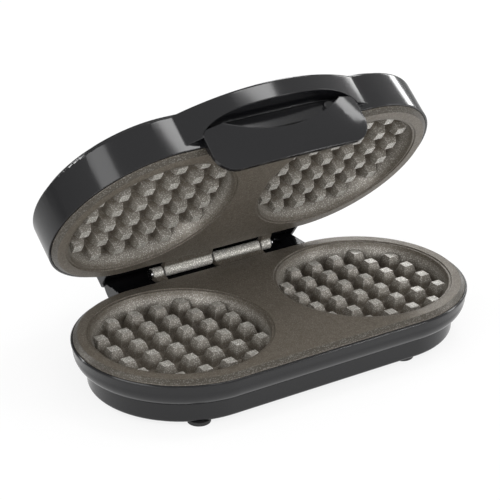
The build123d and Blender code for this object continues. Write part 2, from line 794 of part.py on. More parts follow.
def dome_face(inset, corner, foot):
    """Half section of the top cover: steep side, rounded shoulder and a gently crowned top."""
    side = dome_shoulder_radius - inset
    shoulder = dome_shoulder_z - inset
    top = dome_top - inset
    crown_radius = (side ** 2 + (top - shoulder) ** 2) / (2 * (top - shoulder))
    middle_drop = crown_radius - math.sqrt(crown_radius ** 2 - (side / 2) ** 2)
    crown = ThreePointArc((0, top), (side / 2, top - middle_drop), (side, shoulder))
    rest = Polyline((side, shoulder), (dome_radius - inset, foot), (0, foot), (0, top))
    face = make_face(Curve() + [Plane.YZ * crown, Plane.YZ * rest])
    spot = Vector(0, side, shoulder)
    return fillet(min(face.vertices(), key=lambda v: (Vector(*v) - spot).length), corner)


def lens_places():
    """Power and ready lights, side by side at the front of the top cover."""
    return [(-lens_x, lens_y), (lens_x, lens_y)]


def lens_seat():
    """Height of the top cover at the inner edge of a lens head."""
    edge = abs(lens_y) - lens_radius - lens_rim
    rise = dome_top - dome_shoulder_z
    return dome_top - rise * (edge / dome_shoulder_radius) ** 2


def lid_top_cover():
    """Crowned cover that snaps on the deck and hides the screws."""
    foot = deck_top + seat_gap
    cover = stadium_ring(dome_face(0, dome_shoulder_round, foot))
    cover -= stadium_ring(dome_face(dome_wall, dome_inner_round, foot - past))
    for x, y in corners(dome_peg_x, dome_peg_y):
        cover += rod(dome_peg_radius, (x, y, dome_peg_end), (x, y, dome_shoulder_z - past))
    for x, y in lens_places():
        cover -= rod(lens_radius + slip_fit, (x, y, foot), (x, y, dome_top + past))
    return cover


def lens(x, y):
    """Moulded light window, pushed in from outside."""
    seat = lens_seat() + seat_gap
    cap = rod(lens_radius + lens_rim, (x, y, seat), (x, y, seat + lens_height))
    cap = fillet(cap.edges().group_by(Axis.Z)[-1], lens_height / 2)
    return cap + rod(lens_radius, (x, y, seat + lens_height / 2), (x, y, seat - dome_wall - lens_stem))


def lamp(x, y):
    """Neon lamp that stands on its board under the window."""
    low = deck_under
    top = lens_seat() - dome_wall - lens_stem - seat_gap
    glass = rod(lamp_radius, (x, y, low), (x, y, top))
    return fillet(glass.edges().group_by(Axis.Z)[-1], lamp_radius / 2)


def lamp_board():
    """Small board under the edge of the deck that carries both lamps."""
    half = lamp_board_width / 2
    top = deck_under - seat_gap
    return block(-half, half, -lamp_board_front, -lamp_board_back, top - lamp_board_thickness, top)


def flap_section(front, side, z):
    """Plan section of the handle flap at one height."""
    half = bulge_half_width
    t = handle_thickness
    outer = ThreePointArc((-half, -side), (0, -front), (half, -side))
    inner = ThreePointArc((half, t - side), (0, t - front), (-half, t - side))
    ends = [Line((half, -side), (half, t - side)), Line((-half, t - side), (-half, -side))]
    return Pos(0, 0, z) * make_face(Curve() + [outer, inner] + ends)


def handle():
    """Lift handle: front flap with a scooped top edge, two end blocks and a back plate."""
    flap = loft([flap_section(handle_front_bottom, handle_side_bottom, handle_bottom),
                 flap_section(handle_front_top, handle_side_top, handle_top)])
    half = bulge_half_width - handle_gap
    low = handle_bottom
    lower = Polyline((-half, bulge_foot), (-half, low), (half, low), (half, bulge_foot), close=True)
    front = make_face(Plane.XZ * lower)
    front = fillet(front.vertices().group_by(Axis.Z)[0], handle_corner)
    band = Rectangle(2 * half, 2 * (handle_top - bulge_foot))
    haunch = arch_face(handle_gap) & (Plane.XZ * Pos(0, bulge_foot) * band)
    scoop = handle_top - scoop_bottom
    scoop_radius = (scoop_half_width ** 2 + scoop ** 2) / (2 * scoop)
    disc = Plane.XZ * Pos(0, scoop_bottom + scoop_radius) * Circle(scoop_radius)
    outline = front + haunch - disc
    flap &= extrude(outline, 2 * bulge_front)

    wall_face = -lid_radius - seat_gap
    inner = half - handle_block_width
    top = bulge_foot - seat_gap
    end = block(inner, half, -handle_block_front, wall_face, handle_block_foot, top)
    side = handle_back_half_width
    plate = make_face(Plane.XZ * Polyline(
        (-half, handle_back_foot), (half, handle_back_foot), (half, top), (side, handle_back_top),
        (-side, handle_back_top), (-half, top), close=True))
    back = Pos(0, wall_face, 0) * extrude(plate, handle_back_thickness)
    piece = flap + end + mirror(end, Plane.YZ) + back
    for side in (-1, 1):
        x = side * handle_screw_x
        z = handle_screw_z
        foot = wall_face - handle_back_thickness - handle_boss
        piece += rod(boss_radius, (x, foot, z), (x, wall_face - past, z))
        piece -= rod(screw_radius + slip_fit, (x, wall_face - handle_screw_hole, z), (x, wall_face + past, z))
    return piece


def handle_screws():
    """Two screws from inside the lid, through its front wall into the handle."""
    seat = -lid_radius + lid_wall + seat_gap
    length = lid_wall + handle_screw_hole
    one = Rot(-90, 0, 0) * screw(screw_radius, screw_head_radius, screw_head_height, length)
    return [Pos(side * handle_screw_x, seat, handle_screw_z) * one for side in (-1, 1)]


def thermostat():
    """Snap-disc thermostat held under the plate flange by its two ears."""
    top = -flange_depth - seat_gap
    low = top - thermostat_height
    y = thermostat_y
    body = rod(thermostat_radius, (0, y, top), (0, y, low))
    body = fillet(body.edges().group_by(Axis.Z)[0], thermostat_round)
    half = thermostat_ear_width / 2
    body += block(-thermostat_ear, thermostat_ear, y - half, y + half, top - thermostat_ear_thickness, top)
    for side in (-1, 1):
        x = side * (thermostat_ear - ear_hole_inset)
        foot = top - thermostat_ear_thickness - past
        body -= rod(small_screw_radius + slip_fit, (x, y, top + past), (x, y, foot))
        x = side * thermostat_tab_x
        body += block(x - tab_width / 2, x + tab_width / 2, y - tab_thickness / 2, y + tab_thickness / 2,
                      low - tab_length, low + past)
    return body


def thermal_fuse():
    """Thermal cut-off in its sleeve, lying along the plate's front edge."""
    z = -flange_depth - seat_gap - fuse_radius
    half = fuse_length / 2
    sleeve = rod(fuse_radius, (-half, fuse_y, z), (half, fuse_y, z))
    return sleeve + rod(fuse_wire_radius, (-fuse_wire_end, fuse_y, z), (fuse_wire_end, fuse_y, z))


def fuse_clip():
    """Sheet strap over the fuse, with one screwed ear."""
    t = strap_thickness
    top = -flange_depth - seat_gap
    low = top - 2 * fuse_radius - seat_gap
    w = fuse_clip_width / 2
    r = fuse_radius + seat_gap
    clip = block(-w, w, fuse_y - r - t, fuse_y + r + t, low - t, top)
    clip -= block(-w - past, w + past, fuse_y - r, fuse_y + r, low, top + past)
    clip += block(-w, w, fuse_y + r, fuse_screw_y() + fuse_ear_depth / 2, top - t, top)
    return clip - rod(small_screw_radius + slip_fit, (0, fuse_screw_y(), top + past),
                      (0, fuse_screw_y(), top - t - past))


def block_ways_x():
    """The ways of the terminal block, from the left."""
    step = block_length / block_ways
    return [(i - (block_ways - 1) / 2) * step for i in range(block_ways)]


def terminal_block():
    """Ceramic block on the floor with a screw well for each conductor."""
    foot = floor_z + seat_gap
    top = foot + block_height
    half = block_length / 2
    front = block_y - block_depth / 2
    back = block_y + block_depth / 2
    body = block(-half, half, front, back, foot, top)
    body = fillet(body.edges().filter_by(Axis.Z), block_round)
    z = foot + block_wire_z
    for x in block_ways_x():
        body -= rod(block_hole_radius, (x, block_y, top - block_well_depth), (x, block_y, top + past))
        body -= rod(wire_hole_radius, (x, front - past, z), (x, back + past, z))
    return body


def terminal_screws():
    """Brass clamping screws in the wells of the terminal block."""
    z = floor_z + 2 * seat_gap + block_height - block_well_depth
    radius = block_hole_radius - slip_fit
    one = rod(radius, (0, 0, z), (0, 0, z + block_screw_height))
    slot = block_screw_slot / 2
    top = z + block_screw_height
    one -= block(-radius - past, radius + past, -slot, slot, top - block_screw_slot_depth, top + past)
    return [Pos(x, block_y, 0) * one for x in block_ways_x()]


def ground_lug():
    """Ring terminal screwed to the plate, with a crimp barrel for its lead."""
    top = -flange_depth - seat_gap
    ring = rod(lug_radius, (lug_x, lug_y, top), (lug_x, lug_y, top - lug_thickness))
    end = lug_x - lug_tail
    z = top - lug_barrel_radius
    ring += rod(lug_barrel_radius, (end, lug_y, z), (end + lug_barrel, lug_y, z))
    ring += block(end + lug_barrel / 2, lug_x, lug_y - lug_barrel_radius, lug_y + lug_barrel_radius,
                  top - lug_thickness, top)
    return ring - rod(small_screw_radius + slip_fit, (lug_x, lug_y, top + past),
                      (lug_x, lug_y, top - lug_thickness - past))


def cord_grommet():
    """Rubber bush where the mains cord enters at the back."""
    x = grommet_x
    z = grommet_z
    end = grommet_out + grommet_flange
    bush = rod(grommet_radius, (x, grommet_in, z), (x, end, z))
    bush += rod(grommet_flange_radius, (x, grommet_out, z), (x, end, z))
    return bush - rod(grommet_hole_radius, (x, grommet_in - past, z), (x, end + past, z))


def lead(*points):
    """Insulated wire through the given points, rounded at each turn."""
    path = FilletPolyline(*points, radius=lead_bend)
    start = Plane(origin=points[0], z_dir=path % 0)
    return sweep(start * Circle(lead_radius), path=path)


def element_lead_start(side):
    """Just off the end face of a cold pin."""
    return (side * (element_gap / 2 - cold_pin_length - seat_gap), element_loop_radius, element_z)


def base_leads():
    """Line through the thermostat and fuse to the element, neutral, and ground."""
    left, middle, right = block_ways_x()
    wire_z = floor_z + seat_gap + block_wire_z
    inside = block_y - past
    front = block_y - block_depth / 2 - lead_bend - past
    tab_y = thermostat_y - tab_thickness / 2 - seat_gap
    fuse_z = -flange_depth - seat_gap - fuse_radius
    fuse_x = fuse_wire_end + seat_gap
    y = element_loop_radius
    lug_z = -flange_depth - seat_gap - lug_barrel_radius
    lug_end = lug_x - lug_tail - seat_gap
    return [
        lead((left, inside, wire_z), (left, front, wire_z), (-lead_run_x, y, lead_run_z),
             (-lead_run_x, lead_front_y, lead_run_z), (-thermostat_tab_x, lead_front_y, lead_tab_z),
             (-thermostat_tab_x, tab_y, lead_tab_z)),
        lead((thermostat_tab_x, tab_y, lead_tab_z), (thermostat_tab_x, lead_front_y, lead_tab_z),
             (lead_return_x, fuse_y, lead_tab_z), (lead_return_x, fuse_y, fuse_z), (fuse_x, fuse_y, fuse_z)),
        lead((-fuse_x, fuse_y, fuse_z), (-lead_return_x, fuse_y, fuse_z), (-lead_return_x, fuse_y, lead_run_z),
             (-lead_return_x, y, lead_run_z), (-lead_return_x, y, lead_notch_z),
             (-lead_drop_x, y, lead_notch_z),
             (-lead_drop_x, y, element_z), element_lead_start(-1)),
        lead((right, inside, wire_z), (right, front, wire_z), (lead_drop_x, y, lead_notch_z),
             (lead_drop_x, y, element_z), element_lead_start(1)),
        lead((lug_end, lug_y, lug_z), (middle, lug_y, lug_z), (middle, lug_y, wire_z),
             (middle, inside + past, wire_z)),
    ]


def lid_leads():
    """Two leads of the upper element and one of the lamp board, from the hole at the back."""
    start_y = lid_radius + past
    z = closed_gap - element_z
    y = element_loop_radius
    pin_x = element_lead_start(1)[0]
    near_x = lead_hole_x + lead_spread
    far_x = lead_hole_x - lead_spread
    lamp_z = deck_under - seat_gap - lead_radius - lead_lift
    return [
        lead((near_x, start_y, z), (near_x, near_lead_y, z), (lead_return_x, near_lead_y, z),
             (lead_return_x, lead_back_y, z), (lead_drop_x, lead_back_y, z), (lead_drop_x, y, z),
             (pin_x, y, z)),
        lead((far_x, start_y, z), (far_x, far_lead_y, z), (-lead_return_x, far_lead_y, z),
             (-lead_return_x, lead_back_y, z), (-lead_drop_x, lead_back_y, z), (-lead_drop_x, y, z),
             (-pin_x, y, z)),
        lead((lamp_lead_x, -lamp_board_back + seat_gap, lamp_z), (lamp_lead_x, lamp_lead_y, lamp_z),
             (lead_hole_x, lamp_lead_y, lamp_z), (lead_hole_x, near_lead_y + past, lamp_lead_hole_z),
             (lead_hole_x, start_y, lamp_lead_hole_z)),
    ]


halves = {
    "heating_element": heating_element(),
    "element_clips": Compound(element_clips()),
    "element_clip_screws": Compound(element_clip_screws()),
    "reflector": reflector(),
    "reflector_screws": Compound(reflector_screws()),
}
blank_plate = cooking_plate()

nodes = {
    "base_housing": place(base_housing()),
    "bottom_cover": place(bottom_cover()),
    "bottom_cover_screws": place(Compound(cover_screws())),
    "lower_plate": place(blank_plate - small_screw_holes()),
    "upper_plate": open_lid(flip(blank_plate)),
    "hinge_pin": place(hinge_pin()),
    "hinge_pin_clip": place(hinge_pin_clip()),
    "lid_housing": open_lid(lid_housing()),
    "lid_screws": open_lid(Compound(lid_screws())),
    "lid_top_cover": open_lid(lid_top_cover()),
    "handle": open_lid(handle()),
    "handle_screws": open_lid(Compound(handle_screws())),
    "lamp_board": open_lid(lamp_board()),
    "lid_leads": open_lid(Compound(lid_leads())),
    "thermostat": place(thermostat()),
    "small_screws": place(Compound(small_screws())),
    "thermal_fuse": place(thermal_fuse()),
    "fuse_clip": place(fuse_clip()),
    "ground_lug": place(ground_lug()),
    "terminal_block": place(terminal_block()),
    "terminal_screws": place(Compound(terminal_screws())),
    "base_leads": place(Compound(base_leads())),
    "cord_grommet": place(cord_grommet()),
}
for name, item in halves.items():
    nodes["lower_" + name] = place(item)
    nodes["upper_" + name] = open_lid(flip(item))
for name, (x, y) in zip(("power", "ready"), lens_places()):
    nodes[name + "_light_lens"] = open_lid(lens(x, y))
    nodes[name + "_lamp"] = open_lid(lamp(x, y))
for name, (x, y) in zip(("front_left", "front_right", "rear_left", "rear_right"), foot_places()):
    nodes["foot_" + name] = place(Pos(x, y, 0) * foot())

os.makedirs("parts", exist_ok=True)
for name, shape in nodes.items():
    export_step(shape, f"parts/{name}.step")
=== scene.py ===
import math

import bmesh
import bpy
from mathutils import Matrix, Vector
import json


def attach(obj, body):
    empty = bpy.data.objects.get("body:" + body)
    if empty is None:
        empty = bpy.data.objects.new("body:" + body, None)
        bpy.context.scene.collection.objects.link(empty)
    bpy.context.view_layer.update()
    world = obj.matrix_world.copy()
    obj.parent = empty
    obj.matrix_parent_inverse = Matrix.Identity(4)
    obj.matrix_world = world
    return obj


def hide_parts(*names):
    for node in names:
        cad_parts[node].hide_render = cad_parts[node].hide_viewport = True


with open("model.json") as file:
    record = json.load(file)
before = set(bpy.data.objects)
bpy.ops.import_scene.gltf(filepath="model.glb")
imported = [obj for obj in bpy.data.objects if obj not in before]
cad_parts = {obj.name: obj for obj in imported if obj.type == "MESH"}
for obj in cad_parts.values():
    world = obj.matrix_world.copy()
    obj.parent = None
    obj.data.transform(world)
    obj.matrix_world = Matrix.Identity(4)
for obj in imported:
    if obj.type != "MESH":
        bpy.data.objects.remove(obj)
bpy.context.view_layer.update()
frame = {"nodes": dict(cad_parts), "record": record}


# Paper sweep
# The maker stands on seamless white paper. Camera and mirror rays see it near white, and what the
# soft light leaves of the contact shadow stays on it.
def srgb(code):
    """Linear colour of a six-digit sRGB hex value."""
    parts = [int(code[i:i + 2], 16) / 255 for i in (0, 2, 4)]
    return [p / 12.92 if p <= 0.04045 else ((p + 0.055) / 1.055) ** 2.4 for p in parts] + [1]


def add_node(tree, kind, settings=None):
    """Add a node. Each setting is one of its properties or inputs, and a socket is linked."""
    node = tree.nodes.new(kind)
    for name, value in (settings or {}).items():
        if isinstance(value, bpy.types.NodeSocket):
            tree.links.new(value, node.inputs[name])
        elif isinstance(name, int) or name in node.inputs:
            node.inputs[name].default_value = value
        else:
            setattr(node, name, value)
    return node


def new_material(name):
    """Empty node material and its tree."""
    material = bpy.data.materials.new(name)
    material.use_nodes = True
    material.node_tree.nodes.clear()
    return material, material.node_tree


def seen_directly(tree):
    """1 for camera, mirror and transmission rays, and 0 for the rays that light the object."""
    path = add_node(tree, "ShaderNodeLightPath").outputs
    seen = path["Is Camera Ray"]
    for other in ("Is Glossy Ray", "Is Transmission Ray"):
        seen = add_node(tree, "ShaderNodeMath", {
            "operation": "MAXIMUM", 0: seen, 1: path[other]}).outputs[0]
    return seen


paper, tree = new_material("seamless_white_paper")
lit = add_node(tree, "ShaderNodeBsdfDiffuse", {"Color": srgb("F4F4F4")})
# Towards the back of the studio the mirror rays see the sheet fall into the dark.
place = add_node(tree, "ShaderNodeTexCoord").outputs["Object"]
spot = add_node(tree, "ShaderNodeSeparateXYZ", {"Vector": place})
fall = add_node(tree, "ShaderNodeMapRange", {
    "From Min": 0.1, "From Max": 0.6, "To Min": 0.8, "To Max": 0.2, "Value": spot.outputs["Y"]})
path = add_node(tree, "ShaderNodeLightPath")
bright = add_node(tree, "ShaderNodeMix", {
    0: path.outputs["Is Glossy Ray"], 2: 1.0, 3: fall.outputs[0]})
glow = add_node(tree, "ShaderNodeEmission", {
    "Color": srgb("FFFFFF"), "Strength": bright.outputs[0]})
# The rest of what the camera sees is the lit sheet, with the shadow on it.
glow_share = 0.82
share = add_node(tree, "ShaderNodeMath", {
    "operation": "MULTIPLY", 0: seen_directly(tree), 1: glow_share})
mix = add_node(tree, "ShaderNodeMixShader", {
    "Fac": share.outputs[0], 1: lit.outputs[0], 2: glow.outputs[0]})
add_node(tree, "ShaderNodeOutputMaterial", {"Surface": mix.outputs[0]})

sheet = bmesh.new()
half_sheet = 4.0
bmesh.ops.create_grid(sheet, x_segments=2, y_segments=2, size=half_sheet)
mesh = bpy.data.meshes.new("paper_sweep")
sheet.to_mesh(mesh)
sheet.free()
mesh.materials.append(paper)
floor = bpy.data.objects.new("paper_sweep", mesh)
bpy.context.collection.objects.link(floor)

# The fill comes mostly from the front. The mirror rays see a dimmer studio, so that the lamps
# show as bands on the glossy black.
world = bpy.data.worlds.new("studio")
world.use_nodes = True
tree = world.node_tree
tree.nodes.clear()
path = add_node(tree, "ShaderNodeLightPath")
direction = add_node(tree, "ShaderNodeTexCoord").outputs["Generated"]
toward = add_node(tree, "ShaderNodeSeparateXYZ", {"Vector": direction})
frontal = add_node(tree, "ShaderNodeMapRange", {
    "From Min": -1.0, "From Max": 0.6, "To Min": 1.5, "To Max": 0.45, "Value": toward.outputs["Y"]})
fill = add_node(tree, "ShaderNodeBackground", {
    "Color": srgb("FFFFFF"), "Strength": frontal.outputs[0]})
depth = add_node(tree, "ShaderNodeMapRange", {
    "From Min": 0.2, "From Max": 0.8, "To Min": 0.6, "To Max": 0.25, "Value": toward.outputs["Y"]})
mirrored = add_node(tree, "ShaderNodeBackground", {
    "Color": srgb("FFFFFF"), "Strength": depth.outputs[0]})
backdrop = add_node(tree, "ShaderNodeBackground", {"Color": srgb("FFFFFF"), "Strength": 1.0})
mix = add_node(tree, "ShaderNodeMixShader", {
    "Fac": seen_directly(tree), 1: fill.outputs[0], 2: backdrop.outputs[0]})
mix = add_node(tree, "ShaderNodeMixShader", {
    "Fac": path.outputs["Is Glossy Ray"], 1: mix.outputs[0], 2: mirrored.outputs[0]})
add_node(tree, "ShaderNodeOutputWorld", {"Surface": mix.outputs[0]})
bpy.context.scene.world = world
bpy.context.scene.view_settings.view_transform = "Standard"

# Studio lamps
# Rectangular softboxes of a few watts that all point at the middle of the object. Each shows as
# one band or glint on the black mouldings.
middle = Vector((0, 0, 0.08))
for name, place, size, power in (
        ("left_softbox", (-1.05, 0.0, 1.07), (0.9, 0.4), 2.8),
        ("overhead_softbox", (0.38, -0.08, 1.25), (0.26, 0.4), 2),
        ("right_strip", (1.2, 0.45, 0.4), (0.12, 0.6), 1.8),
        ("side_softbox", (1.3, -0.2, 0.8), (0.3, 0.5), 2.4),
        ("front_softbox", (-0.5, -1.5, 0.25), (1.2, 0.3), 3.5),
        ("low_left_softbox", (-1.2, -0.75, 0.3), (0.7, 0.2), 3.5),
        ("right_front_strip", (0.82, -1.22, 0.39), (0.16, 0.34), 2.5),
        ("left_rim_strip", (-0.64, 1.11, 0.65), (0.25, 0.25), 2),
        ("right_rim_strip", (0.76, 0.97, 0.74), (0.25, 0.3), 2)):
    data = bpy.data.lights.new(name, "AREA")
    data.shape = "RECTANGLE"
    data.size, data.size_y = size
    data.energy = power
    lamp = bpy.data.objects.new(name, data)
    place = Vector(place)
    turn = (middle - place).to_track_quat("-Z", "Y")
    lamp.matrix_world = Matrix.Translation(place) @ turn.to_matrix().to_4x4()
    bpy.context.collection.objects.link(lamp)

# Camera
# A long lens from the front left, a little above the lid, as the photograph was taken. It turns
# about a spot near the middle of the open maker.
sensor_mm = 36
photo_pixels = 500
focal_pixels = 1872.5
camera_data = bpy.data.cameras.new("camera")
camera_data.sensor_width = sensor_mm
camera_data.lens = focal_pixels / photo_pixels * sensor_mm
camera_data.clip_end = 20
camera = bpy.data.objects.new("camera", camera_data)
aim = Vector((-0.0264, -0.0098, 0.0888))
azimuth = math.radians(-32.92)
height = math.radians(24.67)
distance = 1.2605
away = Vector((math.sin(azimuth) * math.cos(height), -math.cos(azimuth) * math.cos(height),
               math.sin(height)))
turn = away.to_track_quat("Z", "Y").to_matrix().to_4x4()
camera.matrix_world = Matrix.Translation(aim + away * distance) @ turn
bpy.context.collection.objects.link(camera)
bpy.context.scene.camera = camera


# Base housing
# Upper band of the base, injection-moulded in glossy black ABS. It carries the lower plate on an
# inner ledge and reaches back as a shelf below the hinge.
def moulded_abs():
    """High-gloss black ABS from a polished mould: a deep mirror with a very faint waviness."""
    material, tree = new_material("polished_black_abs")
    place = add_node(tree, "ShaderNodeTexCoord").outputs["Object"]
    sinks_per_metre = 60.0
    sink = add_node(tree, "ShaderNodeTexNoise", {
        "Scale": sinks_per_metre, "Detail": 1.0, "Vector": place})
    # The mould's edges have a radius under a millimetre, which catches the lamps as a thin line.
    edge = add_node(tree, "ShaderNodeBevel", {"samples": 6, "Radius": 0.0009})
    wave = add_node(tree, "ShaderNodeBump", {
        "Strength": 0.03, "Distance": 0.0004,
        "Height": sink.outputs["Fac"], "Normal": edge.outputs[0]})
    clouds_per_metre = 25.0
    haze = add_node(tree, "ShaderNodeTexNoise", {
        "Scale": clouds_per_metre, "Detail": 3.0, "Vector": place})
    rough = add_node(tree, "ShaderNodeMapRange", {
        "To Min": 0.09, "To Max": 0.16, "Value": haze.outputs["Fac"]})
    shader = add_node(tree, "ShaderNodeBsdfPrincipled", {
        "Base Color": srgb("101012"), "IOR": 1.53,
        "Roughness": rough.outputs[0], "Normal": wave.outputs[0]})
    add_node(tree, "ShaderNodeOutputMaterial", {"Surface": shader.outputs[0]})
    return material


def welded_copy(node):
    """Mesh of a CAD node with its loose triangles joined where they touch."""
    welded = bmesh.new()
    welded.from_mesh(frame["nodes"][node].data)
    touching = 1e-6
    bmesh.ops.remove_doubles(welded, verts=welded.verts, dist=touching)
    return welded


def skin_of(node, material, edge, sharp=30):
    """One smooth skin of a node's surface, with a small round on edges over sharp degrees."""
    mesh = bpy.data.meshes.new(node + "_skin")
    welded = welded_copy(node)
    only_flat = math.radians(0.02)
    bmesh.ops.dissolve_limit(welded, angle_limit=only_flat, verts=welded.verts, edges=welded.edges)
    welded.to_mesh(mesh)
    welded.free()
    mesh.materials.clear()
    mesh.materials.append(material)
    mesh.shade_smooth()
    mesh.set_sharp_from_angle(angle=math.radians(sharp))
    piece = bpy.data.objects.new(node + "_piece", mesh)
    bpy.context.collection.objects.link(piece)
    bevel = piece.modifiers.new("edge", "BEVEL")
    bevel.width = edge
    bevel.segments = 3
    bevel.limit_method = "ANGLE"
    bevel.angle_limit = math.radians(sharp)
    bevel.harden_normals = True
    weigh = piece.modifiers.new("flat faces stay flat", "WEIGHTED_NORMAL")
    weigh.keep_sharp = True
    return piece


def stand_for(piece, node):
    """The piece takes the node's place and body, and the node is hidden."""
    bodies = frame["record"]["behaviour"]["bodies"]
    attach(piece, next(body for body, members in bodies.items() if node in members))
    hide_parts(node)


black_abs = moulded_abs()
abs_edge = 0.0004
stand_for(skin_of("base_housing", black_abs, abs_edge), "base_housing")

# Bottom cover
# Lower band and floor of the base in the same black ABS, let in a little below the upper band and
# held up by four long screws.
stand_for(skin_of("bottom_cover", black_abs, abs_edge), "bottom_cover")


# Bottom cover screws
# Four long pan-head thread-forming screws, turned up from below through the cover's posts into
# the plate. Cold-headed steel wire with rolled threads and a bright zinc plating.
def worked_metal(name, dark, light, rough, grain, stretch=(1, 1, 1)):
    """Metal whose tool marks, in metres, vary its tint, its gloss and its surface."""
    material, tree = new_material(name)
    place = add_node(tree, "ShaderNodeTexCoord").outputs["Object"]
    drawn = add_node(tree, "ShaderNodeMapping", {"Scale": stretch, "Vector": place})
    marks = add_node(tree, "ShaderNodeTexNoise", {
        "Scale": 1 / grain, "Detail": 3.0, "Vector": drawn.outputs[0]}).outputs["Fac"]
    tint = add_node(tree, "ShaderNodeMix", {
        "data_type": "RGBA", 0: marks, 6: srgb(dark), 7: srgb(light)})
    spread = 0.08
    gloss = add_node(tree, "ShaderNodeMapRange", {
        "To Min": rough - spread, "To Max": rough + spread, "Value": marks})
    bump = add_node(tree, "ShaderNodeBump", {"Strength": 0.15, "Distance": 0.0001, "Height": marks})
    shader = add_node(tree, "ShaderNodeBsdfPrincipled", {
        "Metallic": 1.0, "Base Color": tint.outputs[2],
        "Roughness": gloss.outputs[0], "Normal": bump.outputs[0]})
    add_node(tree, "ShaderNodeOutputMaterial", {"Surface": shader.outputs[0]})
    return material


